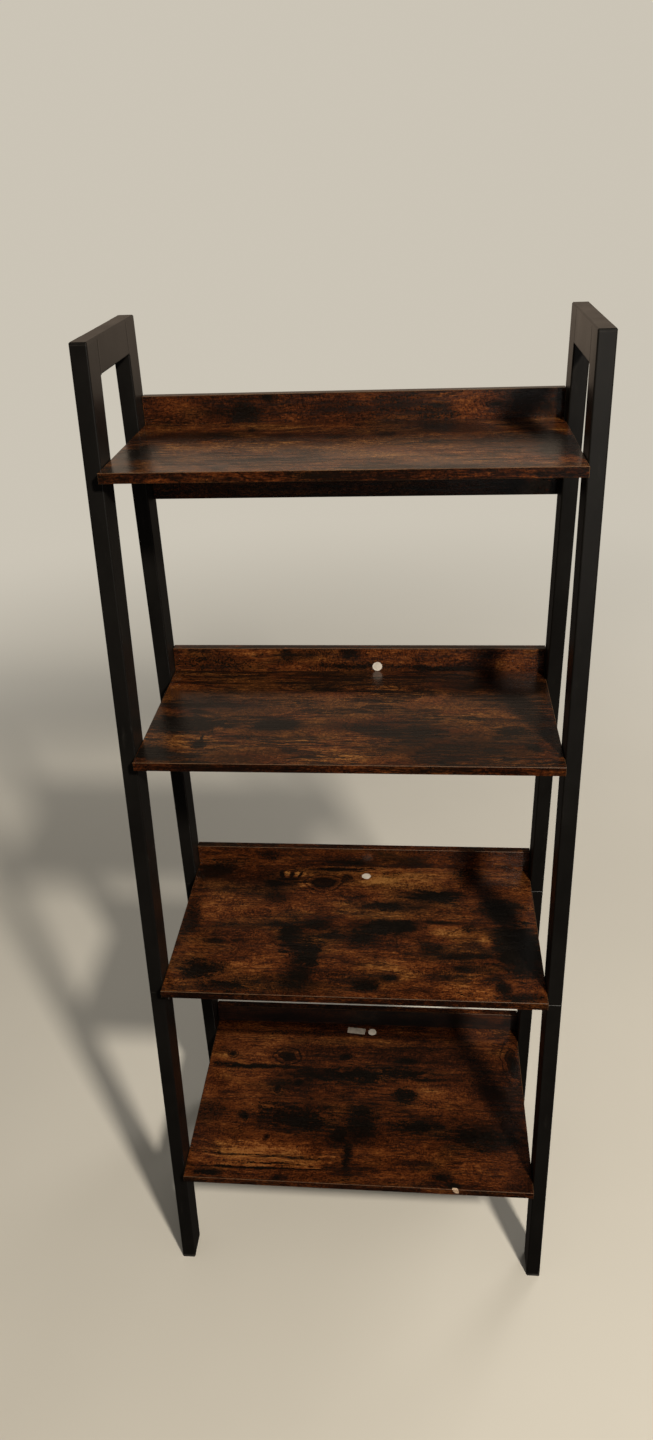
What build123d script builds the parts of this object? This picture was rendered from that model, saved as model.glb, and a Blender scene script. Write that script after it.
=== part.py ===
# Four-tier ladder shelf: two steel side frames, four boards with backboards, and what holds them together.
# Millimetres. X runs across the shelf, -Y is the front and +Z is up.
# The origin is on the floor, under the middle of the shelf.
import os
from math import atan2, cos, radians, sin, tan

from build123d import *

# Side frames
frame_height = 1375.0        # floor to the top of the frames
foot_depth = 332.0           # front to back over the posts, on the floor
top_depth = 200.0            # front to back over the posts, at the top
inner_width = 526.0          # clear width between the two frames
tube_width = 20.0            # tube of the posts and rails, across the shelf
tube_depth = 40.0            # the same tube, front to back
tube_wall = 1.2
tube_corner = 2.0            # outside corner radius of the tube
plate_thickness = 3.0        # plates that close the tops of the posts
plate_chamfer = 0.6 * tube_corner

# Seam between the two lengths of each post
seam_drop = 4.0              # from the underside of the tabs there to the seam
seam_chamfer = 0.6           # round the rim of the lower length
sleeve_length = 100.0
sleeve_wall = 1.5
slip_gap = 0.3               # round the sleeves and plugs, inside the tubes

# Plastic feet
foot_pad = 4.0               # thickness under the post
plug_height = 18.0           # inside the post, above the pad
plug_wall = 1.6

# Boards
board_thickness = 12.0
bottom_shelf_height = 195.0  # floor to the top of the lowest shelf
top_shelf_drop = 130.0       # from the top of the frames to the top of the highest shelf
shelf_overhang = 14.7        # front edge of the lowest shelf, in front of its posts
overhang_step = 1.6          # each shelf stands out this much further than the one below it
end_gap = 0.5                # between the boards and the posts, at each end
backboard_rise = 35.0        # above the top of its shelf
backboard_drop = 97.0        # below the top of its shelf
band_thickness = 1.0         # edge bands of the boards
band_chamfer = 0.5 * band_thickness

# Welded tabs
tab_thickness = 3.0
tab_reach = 24.0             # out from the post
tab_clip = 5.0               # cut off the free corners of the tabs
shelf_tab_width = 28.0       # front to back, under the shelves
backboard_tab_height = 44.0
backboard_tab_drop = 20.0    # from the underside of the shelf to the tab
backboard_screw_pitch = 22.0  # between the two screws of a backboard tab

# Screws
screw_radius = 2.0
screw_gap = 0.3              # round every screw in its hole
screw_sides = 8              # facets round a screw and its hole
head_radius = 3.5
head_height = 2.2
head_taper = 20.0            # degrees
board_skin = 3.0             # board left in front of a tab screw's point
rear_screw_inset = 82.5      # from the ends of a backboard to its outer screws
rear_screw_bite = 26.0       # into the back edge of the shelf
rear_head_radius = 4.0
countersink = 45.0           # degrees, from the axis to the flank of the rear screws' heads
sleeve_screw_drop = 24.0     # from the seam down to the locking screw
sleeve_screw_point = 2.0     # past the wall of the sleeve

levels = ["bottom", "lower", "upper", "top"]
seam_level = levels.index("lower")
sides = {"left": -1, "right": 1}

# Places that several pieces share
lean = atan2(foot_depth - top_depth, frame_height)
lean_depth = tube_depth / cos(lean)                    # the leaning tube, measured level
post_x = (inner_width + tube_width) / 2
posts = {"front": ((lean_depth - foot_depth) / 2, lean), "back": ((foot_depth - tube_depth) / 2, 0.0)}
shelf_pitch = (frame_height - top_shelf_drop - bottom_shelf_height) / (len(levels) - 1)
board_length = inner_width - 2 * end_gap
back_face = foot_depth / 2                             # back of the posts and of the backboards
board_face = back_face - board_thickness               # front of the backboards
tab_face = board_face - tab_thickness                  # front of the backboard tabs
tab_screw_length = tab_thickness + board_thickness - board_skin
rear_screw_length = board_thickness + rear_screw_bite
rear_head_height = (rear_head_radius - screw_radius) / tan(radians(countersink))


def shelf_top(level):
    return bottom_shelf_height + level * shelf_pitch


def shelf_under(level):
    return shelf_top(level) - board_thickness


def shelf_front(level):
    post_front = shelf_top(level) * tan(lean) - foot_depth / 2
    return post_front - shelf_overhang - level * overhang_step


seam_height = shelf_under(seam_level) - tab_thickness - seam_drop


# Solids that several pieces are made with
def block(low, high):
    size = [b - a for a, b in zip(low, high)]
    middle = [(a + b) / 2 for a, b in zip(low, high)]
    return Pos(*middle) * Box(*size)


def round_outline(radius):
    return RegularPolygon(radius, screw_sides, major_radius=False)


def stem(place, direction, radius, length, taper=0.0):
    return Plane(origin=place, z_dir=direction) * extrude(round_outline(radius), amount=length, taper=taper)


def post_plane(side, end, height):
    foot_y, tilt = posts[end]
    middle = (sides[side] * post_x, foot_y + height * tan(tilt), height)
    return Plane(origin=middle, x_dir=(1, 0, 0), z_dir=(0, sin(tilt), cos(tilt)))


def tube_outline():
    return RectangleRounded(tube_width, tube_depth, tube_corner)


def inset_outline(inset):
    return Rectangle(tube_width - 2 * inset, tube_depth - 2 * inset)


def tube_section():
    return tube_outline() - inset_outline(tube_wall)


def slip_section(wall):
    inset = tube_wall + slip_gap
    return inset_outline(inset) - inset_outline(inset + wall)


def above(solid, height):
    return split(solid, bisect_by=Plane.XY.offset(height), keep=Keep.TOP)


def below(solid, height):
    return split(solid, bisect_by=Plane.XY.offset(height), keep=Keep.BOTTOM)


# A section swept along a whole post and cut level at two heights
def level_cut(section, side, end, low, high):
    swept = extrude(post_plane(side, end, -tube_depth) * section, amount=2 * frame_height)
    return below(above(swept, low), high)


# Side frames
def upper_post(side, end):
    swept = extrude(post_plane(side, end, seam_height) * tube_section(), amount=frame_height)
    return below(swept, frame_height - plate_thickness)


def sleeve_screw_place(side, end):
    lock = post_plane(side, end, seam_height - sleeve_screw_drop).origin
    across = lock.Y
    if end == "back":
        across = (back_face - tube_depth + tab_face) / 2   # clear of the backboard and its tab
    return (sides[side] * inner_width / 2, across, lock.Z)


def sleeve_screw_hole(side, end):
    return stem(sleeve_screw_place(side, end), (sides[side], 0, 0), screw_radius + screw_gap, tube_width / 2)


def lower_post(side, end):
    swept = extrude(post_plane(side, end, seam_height) * tube_section(), amount=-frame_height)
    rim = swept.faces().sort_by(Axis.Z)[-1].outer_wire().edges()
    post = above(chamfer(rim, seam_chamfer), foot_pad)
    return post - sleeve_screw_hole(side, end)


def sleeve(side, end):
    inside = post_plane(side, end, seam_height) * slip_section(sleeve_wall)
    tube = extrude(inside, amount=sleeve_length / 2, both=True)
    return tube - sleeve_screw_hole(side, end)


# The plate's corners on the rail's side are square, so that it runs on into the rail
def top_plate(side, end):
    rail_way = 1 if end == "front" else -1
    squared = Pos(0, rail_way * tube_depth / 4) * Rectangle(tube_width, tube_depth / 2)
    plate = level_cut(tube_outline() + squared, side, end, frame_height - plate_thickness, frame_height)
    rims = plate.faces().sort_by(Axis.Z)[-1].edges().sort_by(Axis.Y)
    free_rims = rims[:-1] if end == "front" else rims[1:]
    return chamfer(free_rims, plate_chamfer)


def top_rail(side):
    middle = (sides[side] * post_x, 0, frame_height - tube_depth / 2)
    along = Plane(origin=middle, x_dir=(1, 0, 0), z_dir=(0, 1, 0))
    rail = extrude(along * tube_section(), amount=back_face - tube_depth)
    rail += extrude(along * tube_section(), amount=-foot_depth / 2)
    post_back = Plane(origin=(0, lean_depth - foot_depth / 2, 0), z_dir=(0, cos(lean), -sin(lean)))
    return split(rail, bisect_by=post_back, keep=Keep.TOP)


def foot(side, end):
    pad = level_cut(tube_outline(), side, end, 0, foot_pad)
    return pad + level_cut(slip_section(plug_wall), side, end, foot_pad, foot_pad + plug_height)


# Middle of a shelf tab, front to back: on the leaning post, or against the backboard
def shelf_tab_y(level, end):
    if end == "back":
        return board_face - shelf_tab_width / 2
    foot_y, tilt = posts[end]
    return foot_y + shelf_under(level) * tan(tilt)


# Boards
def shelf_screw_places(level, side):
    x = sides[side] * (inner_width - tab_reach) / 2
    return [(x, shelf_tab_y(level, end), shelf_under(level) - tab_thickness) for end in posts]


def backboard_screw_places(level, side):
    middle = shelf_under(level) - backboard_tab_drop - backboard_tab_height / 2
    x = sides[side] * (inner_width - tab_reach) / 2
    return [(x, tab_face, middle + way * backboard_screw_pitch / 2) for way in (-1, 1)]


def rear_screw_places(level):
    middle = shelf_top(level) - board_thickness / 2
    outer = board_length / 2 - rear_screw_inset
    return [(x, back_face, middle) for x in (-outer, 0, outer)]


def countersunk(place, gap):
    inward = (0, -1, 0)
    head = stem(place, inward, rear_head_radius + gap, rear_head_height, taper=countersink)
    return head + stem(place, inward, screw_radius + gap, rear_screw_length + gap)


def tab_screw_hole(place, direction):
    return stem(place, direction, screw_radius + screw_gap, tab_screw_length + screw_gap)


def shelf(level):
    half = board_length / 2 - band_thickness
    board = block((-half, shelf_front(level) + band_thickness, shelf_under(level)),
                  (half, board_face, shelf_top(level)))
    for side in sides:
        for place in shelf_screw_places(level, side):
            board -= tab_screw_hole(place, (0, 0, 1))
    for place in rear_screw_places(level):
        board -= countersunk(place, screw_gap)
    return board


def backboard(level):
    half = board_length / 2 - band_thickness
    board = block((-half, board_face, shelf_top(level) - backboard_drop + band_thickness),
                  (half, back_face, shelf_top(level) + backboard_rise - band_thickness))
    for side in sides:
        for place in backboard_screw_places(level, side):
            board -= tab_screw_hole(place, (0, 1, 0))
    for place in rear_screw_places(level):
        board -= countersunk(place, screw_gap)
    return board


# The rim of a band's outer face is trimmed at an angle
def band(low, high, outward):
    strip = block(low, high)
    outer = strip.faces().sort_by(outward)[-1]
    return chamfer(outer.edges(), band_chamfer)


def shelf_bands(level):
    half = board_length / 2
    inner = half - band_thickness
    front = shelf_front(level)
    under, top = shelf_under(level), shelf_top(level)
    back_of_band = front + band_thickness
    strips = [band((-half, front, under), (half, back_of_band, top), -Axis.Y)]
    strips.append(band((-half, back_of_band, under), (-inner, board_face, top), -Axis.X))
    strips.append(band((inner, back_of_band, under), (half, board_face, top), Axis.X))
    return strips


def backboard_bands(level):
    half = board_length / 2
    inner = half - band_thickness
    low = shelf_top(level) - backboard_drop
    high = shelf_top(level) + backboard_rise
    inner_low, inner_high = low + band_thickness, high - band_thickness
    strips = [band((-half, board_face, inner_high), (half, back_face, high), Axis.Z)]
    strips.append(band((-half, board_face, low), (half, back_face, inner_low), -Axis.Z))
    strips.append(band((-half, board_face, inner_low), (-inner, back_face, inner_high), -Axis.X))
    strips.append(band((inner, board_face, inner_low), (half, back_face, inner_high), Axis.X))
    return strips


# Tabs stand square on the inner face of a post, with their two free corners cut off
def tab(plane, width, hole_offsets):
    blank = Pos(tab_reach / 2, 0) * Rectangle(tab_reach, width)
    blank = chamfer(blank.vertices().group_by(Axis.X)[-1], tab_clip)
    for offset in hole_offsets:
        blank -= Pos(tab_reach / 2, offset) * round_outline(screw_radius + screw_gap)
    return extrude(plane * blank, amount=tab_thickness)


def shelf_tab(level, side, end):
    weld = (sides[side] * inner_width / 2, shelf_tab_y(level, end), shelf_under(level))
    return tab(Plane(origin=weld, x_dir=(-sides[side], 0, 0), z_dir=(0, 0, -1)), shelf_tab_width, [0])


def backboard_tab(level, side):
    middle = shelf_under(level) - backboard_tab_drop - backboard_tab_height / 2
    weld = (sides[side] * inner_width / 2, board_face, middle)
    plane = Plane(origin=weld, x_dir=(-sides[side], 0, 0), z_dir=(0, -1, 0))
    return tab(plane, backboard_tab_height, [-backboard_screw_pitch / 2, backboard_screw_pitch / 2])


# Screws
def pan_screw(place, direction, length):
    outward = [-step for step in direction]
    head = stem(place, outward, head_radius, head_height, taper=head_taper)
    return head + stem(place, direction, screw_radius, length)


def tab_screws():
    screws = []
    for level in range(len(levels)):
        for side in sides:
            for place in shelf_screw_places(level, side):
                screws.append(pan_screw(place, (0, 0, 1), tab_screw_length))
            for place in backboard_screw_places(level, side):
                screws.append(pan_screw(place, (0, 1, 0), tab_screw_length))
    return screws


def rear_screws():
    places = [place for level in range(len(levels)) for place in rear_screw_places(level)]
    return [countersunk(place, 0) for place in places]


def sleeve_screws():
    length = tube_wall + slip_gap + sleeve_wall + sleeve_screw_point
    screws = []
    for side in sides:
        for end in posts:
            screws.append(pan_screw(sleeve_screw_place(side, end), (sides[side], 0, 0), length))
    return screws


def whole_shelf():
    nodes = {}
    for side in sides:
        nodes[f"{side}_top_rail"] = top_rail(side)
        for end in posts:
            nodes[f"{side}_{end}_upper_post"] = upper_post(side, end)
            nodes[f"{side}_{end}_lower_post"] = lower_post(side, end)
            nodes[f"{side}_{end}_sleeve"] = sleeve(side, end)
            nodes[f"{side}_{end}_top_plate"] = top_plate(side, end)
            nodes[f"{side}_{end}_foot"] = foot(side, end)
    for level, name in enumerate(levels):
        nodes[f"{name}_shelf"] = shelf(level)
        nodes[f"{name}_backboard"] = backboard(level)
        for side in sides:
            nodes[f"{name}_{side}_backboard_tab"] = backboard_tab(level, side)
            for end in posts:
                nodes[f"{name}_{side}_{end}_shelf_tab"] = shelf_tab(level, side, end)
    all_levels = range(len(levels))
    shelf_strips = [strip for level in all_levels for strip in shelf_bands(level)]
    backboard_strips = [strip for level in all_levels for strip in backboard_bands(level)]
    nodes["shelf_edge_bands"] = Compound(shelf_strips)
    nodes["backboard_edge_bands"] = Compound(backboard_strips)
    nodes["tab_screws"] = Compound(tab_screws())
    nodes["backboard_screws"] = Compound(rear_screws())
    nodes["sleeve_screws"] = Compound(sleeve_screws())
    return nodes


os.makedirs("parts", exist_ok=True)
for node, solid in whole_shelf().items():
    export_step(solid, f"parts/{node}.step")
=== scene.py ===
import math
import random

import bmesh
import bpy
from mathutils import Matrix, Vector


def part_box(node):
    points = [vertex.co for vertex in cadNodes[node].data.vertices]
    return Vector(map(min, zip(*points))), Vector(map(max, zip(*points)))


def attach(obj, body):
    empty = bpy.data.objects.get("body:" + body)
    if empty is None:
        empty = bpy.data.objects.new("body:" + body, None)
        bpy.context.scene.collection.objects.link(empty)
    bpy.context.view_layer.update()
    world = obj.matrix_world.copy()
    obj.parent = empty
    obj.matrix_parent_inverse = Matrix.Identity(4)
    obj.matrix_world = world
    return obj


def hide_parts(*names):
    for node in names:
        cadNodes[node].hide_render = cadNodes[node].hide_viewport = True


# Four-tier ladder shelf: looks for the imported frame. Metres, X across, -Y front, Z up.
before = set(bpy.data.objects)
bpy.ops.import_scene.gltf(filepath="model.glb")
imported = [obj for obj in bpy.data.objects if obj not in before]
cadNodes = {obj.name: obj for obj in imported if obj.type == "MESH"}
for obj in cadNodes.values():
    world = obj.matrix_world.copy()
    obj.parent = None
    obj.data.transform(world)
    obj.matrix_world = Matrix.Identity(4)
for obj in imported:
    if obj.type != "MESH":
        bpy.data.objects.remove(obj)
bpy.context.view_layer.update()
levels = ["bottom", "lower", "upper", "top"]
sides = {"left": -1, "right": 1}
mm = 0.001
print("frame loaded:", len(cadNodes), "nodes")


# Node helpers give back a socket: only put gives the node, and split its sockets. A node goes into the tree
# of the sockets that feed it, or else into the tree that is named
def put(kind, feeds, tree=None, **settings):
    if tree is None:
        tree = next(value.id_data for value in feeds.values() if isinstance(value, bpy.types.NodeSocket))
    node = tree.nodes.new("ShaderNode" + kind)
    for name, value in settings.items():
        setattr(node, name, value)
    for name, value in feeds.items():
        socket = node.inputs[name]
        if isinstance(value, bpy.types.NodeSocket):
            tree.links.new(value, socket)
        elif socket.type == "RGBA":
            socket.default_value = (*value, 1.0)  # colours are written without their alpha
        else:
            socket.default_value = value
    return node


def calc(operation, first, second=0.0, clamp=False):
    return put("Math", {0: first, 1: second}, operation=operation, use_clamp=clamp).outputs[0]


def times(first, second, clamp=False):
    return calc("MULTIPLY", first, second, clamp)


# base plus value times weight
def weigh(base, value, weight):
    return put("Math", {0: value, 1: weight, 2: base}, operation="MULTIPLY_ADD").outputs[0]


def along(operation, first, second):
    return put("VectorMath", {0: first, 1: second}, operation=operation).outputs[0]


def lengthOf(vector):
    return put("VectorMath", {0: vector}, operation="LENGTH").outputs["Value"]


def noise(vector, stretch, detail, roughness, colour=False):
    feeds = {"Vector": along("MULTIPLY", vector, stretch), "Scale": 1.0,
             "Detail": detail, "Roughness": roughness}
    return put("TexNoise", feeds).outputs["Color" if colour else "Fac"]


def fade(value, start, end, low=0.0, high=1.0):
    feeds = {"Value": value, "From Min": start, "From Max": end, "To Min": low, "To Max": high}
    return put("MapRange", feeds, interpolation_type="SMOOTHSTEP").outputs["Result"]


def mixed(share, first, second):
    return put("Mix", {0: share, 6: first, 7: second}, data_type="RGBA").outputs[2]


def ramp(value, stops):
    node = put("ValToRGB", {0: value})
    elements = node.color_ramp.elements
    while len(elements) < len(stops):
        elements.new(1.0)
    for element, (place, colour) in zip(elements, stops):
        element.position = place
        element.color = (*colour, 1.0)
    return node.outputs["Color"]


def split(vector):
    return put("SeparateXYZ", {0: vector}).outputs


def faceNormal(tree):
    return put("NewGeometry", {}, tree).outputs["Normal"]


# A group takes vectors and numbers, told apart by their default values
def newGroup(name, takes, gives):
    tree = bpy.data.node_groups.new(name, "ShaderNodeTree")
    for label, value in takes.items():
        kind = "Vector" if isinstance(value, tuple) else "Float"
        socket = tree.interface.new_socket(label, in_out="INPUT", socket_type="NodeSocket" + kind)
        socket.default_value = value
    for label, kind in gives.items():
        tree.interface.new_socket(label, in_out="OUTPUT", socket_type="NodeSocket" + kind)
    start = tree.nodes.new("NodeGroupInput").outputs
    end = tree.nodes.new("NodeGroupOutput").inputs
    return tree, start, end


def handOut(tree, end, **made):
    for label, socket in made.items():
        tree.links.new(socket, end[label])
    return tree


def useGroup(group, feeds):
    return put("Group", feeds, node_tree=group).outputs


# A material with its shader, and the place on the piece that its noises start from
def newMaterial(name, **plain):
    material = bpy.data.materials.new(name)
    material.use_nodes = True
    tree = material.node_tree
    tree.nodes.clear()
    shader = put("BsdfPrincipled", plain, tree)
    put("OutputMaterial", {"Surface": shader.outputs["BSDF"]})
    spot = put("TexCoord", {}, tree).outputs["Object"]
    return material, shader, spot


def painted(shader, colour, rough):
    links = shader.id_data.links
    links.new(colour, shader.inputs["Base Color"])
    links.new(rough, shader.inputs["Roughness"])


def bumped(shader, height, strength, distance):
    feeds = {"Height": height, "Strength": strength, "Distance": distance}
    shader.id_data.links.new(put("Bump", feeds).outputs["Normal"], shader.inputs["Normal"])


# Effects that several materials share. The flow sways the grain and gives the ragged edge of every mark
def makeBoardFlow():
    tree, start, end = newGroup("boardFlow", {"Vector": (0, 0, 0)}, {"Flow": "Vector", "Edge": "Float"})
    sway = noise(start["Vector"], (11, 23, 23), 3.0, 0.6, colour=True)
    sway = along("SUBTRACT", sway, (0.5, 0.5, 0.5))
    sway = along("MULTIPLY", sway, (0.026, 0.015, 0.015))
    flow = along("ADD", start["Vector"], sway)
    wisps = noise(flow, (46, 165, 165), 6.0, 0.72)
    return handOut(tree, end, Flow=flow, Edge=calc("SUBTRACT", wisps, 0.5))


# What every mark on a board takes
markTakes = {"Flow": (0, 0, 0), "Edge": 0.0, "Centre": (0, 0, 0), "Reach": (1, 1, 1)}


# How far it is to the centre of a mark, counted in reaches
def awayFrom(start, ragged):
    offset = along("SUBTRACT", start["Flow"], start["Centre"])
    away = lengthOf(along("DIVIDE", offset, start["Reach"]))
    return weigh(away, start["Edge"], ragged)


# A cloud with soft, torn edges: dark ones are soot, save a few that are painted shade and reflection; pale
# ones are worn wood
def makeBoardCloud():
    takes = {**markTakes, "Ragged": 2.8, "Depth": 1.0}
    tree, start, end = newGroup("boardCloud", takes, {"Mask": "Float"})
    away = awayFrom(start, start["Ragged"])
    mask = times(fade(away, 1.6, 0.3), start["Depth"])
    return handOut(tree, end, Mask=mask)


# A knot: a dark core with rings around it
def makeBoardKnot():
    takes = {**markTakes, "Turns": 4.0, "Heart": 0.5}
    tree, start, end = newGroup("boardKnot", takes, {"Core": "Float", "Rings": "Float"})
    away = awayFrom(start, 0.35)
    core = fade(calc("SUBTRACT", away, start["Heart"]), 0.15, -0.15)
    turns = times(start["Turns"], math.tau)
    wave = calc("SINE", times(away, turns))
    rings = times(fade(wave, 0.3, 0.9), fade(away, 1.25, 0.7))
    return handOut(tree, end, Core=core, Rings=rings)


# The wood print itself: tone, grain, saw marks, stain and checks, laid over the clouds and knots
def makeBoardPrint(look):
    takes = {"Flow": (0, 0, 0), "Shift": (0, 0, 0), "Soot": 0.0, "Pale": 0.0, "Core": 0.0, "Rings": 0.0,
             "Grain": 0.5, "Saw": 0.4, "Stain": 0.4, "Warm": 0.0, "Grit": 2.0, "Cloud": 1.35, "Gold": 0.0,
             "Dull": 0.0}
    gives = {"Color": "Color", "Roughness": "Float", "Height": "Float"}
    tree, start, end = newGroup("boardPrint", takes, gives)
    flow = along("ADD", start["Flow"], start["Shift"])
    broad = noise(flow, (6, 15, 15), 2.0, 0.5)
    cloud = noise(flow, (24, 66, 66), 5.0, 0.7)
    grit = noise(flow, (170, 500, 500), 3.0, 0.75)
    pepper = noise(flow, (330, 430, 430), 3.0, 0.7)
    fine = noise(flow, (18, 700, 700), 2.0, 0.6)
    coarse = noise(flow, (8, 270, 270), 3.0, 0.62)
    area = put("SeparateColor", {0: noise(flow, (12, 30, 30), 2.0, 0.5, colour=True)}).outputs
    tick = noise(flow, (640, 150, 150), 2.0, 0.6)
    blot = noise(flow, (14, 40, 40), 6.0, 0.7)
    check = noise(flow, (8, 95, 95), 3.0, 0.5)

    # tone: 0 is the darkest brown, 1 the palest orange
    tone = calc("ADD", start["Warm"], look["middle"])
    layers = ((broad, look["broad"]), (cloud, start["Cloud"]), (grit, start["Grit"]),
              (pepper, look["pepper"]))
    for layer, weight in layers:
        tone = weigh(tone, calc("SUBTRACT", layer, 0.5), weight)
    tone = calc("ADD", tone, start["Pale"])
    lines = times(fade(fine, 0.43, 0.60), look["fineLines"])
    lines = weigh(lines, fade(coarse, 0.46, 0.60), look["coarseLines"])
    lines = times(lines, fade(area[0], 0.40, 0.54), clamp=True)
    tone = calc("SUBTRACT", tone, times(lines, start["Grain"]))
    ticks = times(fade(tick, 0.44, 0.66), fade(area[1], 0.46, 0.6))
    tone = calc("SUBTRACT", tone, times(ticks, start["Saw"]))
    tone = weigh(tone, start["Rings"], look["ringTone"])
    golden = fade(calc("ADD", area[2], start["Gold"]), 0.45, 0.74)
    colour = mixed(golden, ramp(tone, look["redTones"]), ramp(tone, look["goldTones"]))

    # stain, checks and knots go dark over it
    stain = times(fade(blot, 0.53, 0.66), start["Stain"])
    uneven = times(start["Soot"], weigh(0.22, cloud, 1.5))
    soft = calc("MAXIMUM", stain, uneven, clamp=True)
    specks = calc("SUBTRACT", calc("ADD", grit, pepper), 1.0)
    rim = times(soft, calc("SUBTRACT", 1.0, soft))
    spread = weigh(look["specks"], rim, look["rimSpecks"])
    dark = fade(weigh(soft, specks, spread), 0.28, 0.66)
    colour = mixed(dark, colour, ramp(grit, look["soot"]))
    near = calc("ABSOLUTE", calc("SUBTRACT", check, 0.5))
    checks = times(fade(near, 0.022, 0.007), fade(area[1], 0.5, 0.42))
    deep = calc("MAXIMUM", times(checks, look["checks"]), start["Core"], clamp=True)
    colour = mixed(times(deep, look["deepest"]), colour, look["checkColour"])

    rough = weigh(weigh(look["roughness"], lines, look["roughRise"]), grit, look["roughGrit"])
    height = weigh(weigh(1.0, lines, look["lineHeight"]), deep, look["deepHeight"])
    height = weigh(height, ticks, look["tickHeight"])
    return handOut(tree, end, Color=colour, Roughness=calc("ADD", rough, start["Dull"]), Height=height)


# Bare or rubbed places along the edges, patchy as wear is
def makeEdgeWear():
    takes = {"Vector": (0, 0, 0), "Reach": 0.0015, "Patchy": 60.0}
    tree, start, end = newGroup("edgeWear", takes, {"Mask": "Float"})
    rounded = put("Bevel", {"Radius": start["Reach"]}, samples=6).outputs["Normal"]
    feeds = {0: rounded, 1: faceNormal(tree)}
    facing = put("VectorMath", feeds, operation="DOT_PRODUCT").outputs["Value"]
    spread = put("CombineXYZ", {axis: start["Patchy"] for axis in range(3)}).outputs[0]
    worn = noise(start["Vector"], spread, 5.0, 0.7)
    edge = fade(facing, 0.995, 0.86)
    return handOut(tree, end, Mask=times(edge, fade(worn, 0.4, 0.62)))


# Dust that lies on what faces up
def makeDust():
    tree, start, end = newGroup("dust", {"Vector": (0, 0, 0), "Amount": 0.3}, {"Mask": "Float"})
    up = split(faceNormal(tree))["Z"]
    specks = noise(start["Vector"], (140, 140, 140), 6.0, 0.75)
    drift = noise(start["Vector"], (9, 14, 9), 3.0, 0.5)
    lying = times(fade(up, 0.3, 0.95), fade(drift, 0.35, 0.7))
    dusty = times(lying, fade(specks, 0.3, 0.75))
    return handOut(tree, end, Mask=times(dusty, start["Amount"]))


# Tones are (place, colour) from dark to pale, heights are shares of the bump
boardLook = {
    "redTones": [(0.0, (0.0058, 0.0023, 0.0013)), (0.22, (0.0175, 0.0048, 0.0018)),
                 (0.45, (0.043, 0.0104, 0.0027)), (0.68, (0.090, 0.0230, 0.0050)),
                 (0.88, (0.155, 0.0470, 0.0105)), (1.0, (0.220, 0.080, 0.020))],
    "goldTones": [(0.0, (0.0056, 0.0027, 0.0014)), (0.22, (0.0170, 0.0060, 0.0021)),
                  (0.45, (0.044, 0.0138, 0.0035)), (0.68, (0.096, 0.0315, 0.0066)),
                  (0.88, (0.180, 0.0680, 0.0150)), (1.0, (0.270, 0.118, 0.030))],
    "soot": [(0.34, (0.0010, 0.0008, 0.0006)), (0.70, (0.0062, 0.0037, 0.0022))],
    "checkColour": (0.0024, 0.0017, 0.0012), "checks": 0.85, "deepest": 0.92,
    "middle": 0.47, "broad": 1.3, "specks": 1.3, "rimSpecks": 6.4, "pepper": 0.9,
    "fineLines": 0.5, "coarseLines": 0.7, "ringTone": -0.42,
    "roughness": 0.15, "roughRise": 0.08, "roughGrit": 0.15,
    "bump": 0.5, "bumpDepth": 0.00014, "lineHeight": -0.35, "deepHeight": -0.5, "tickHeight": -0.15,
    "ragged": 0.7, "raggedRise": 0.07, "raggedMost": 3.3,
}
boardFlow = makeBoardFlow()
boardCloud = makeBoardCloud()
boardKnot = makeBoardKnot()
boardPrint = makeBoardPrint(boardLook)
edgeWear = makeEdgeWear()
dust = makeDust()
print("shared effects ready:", len(bpy.data.node_groups))

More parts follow.
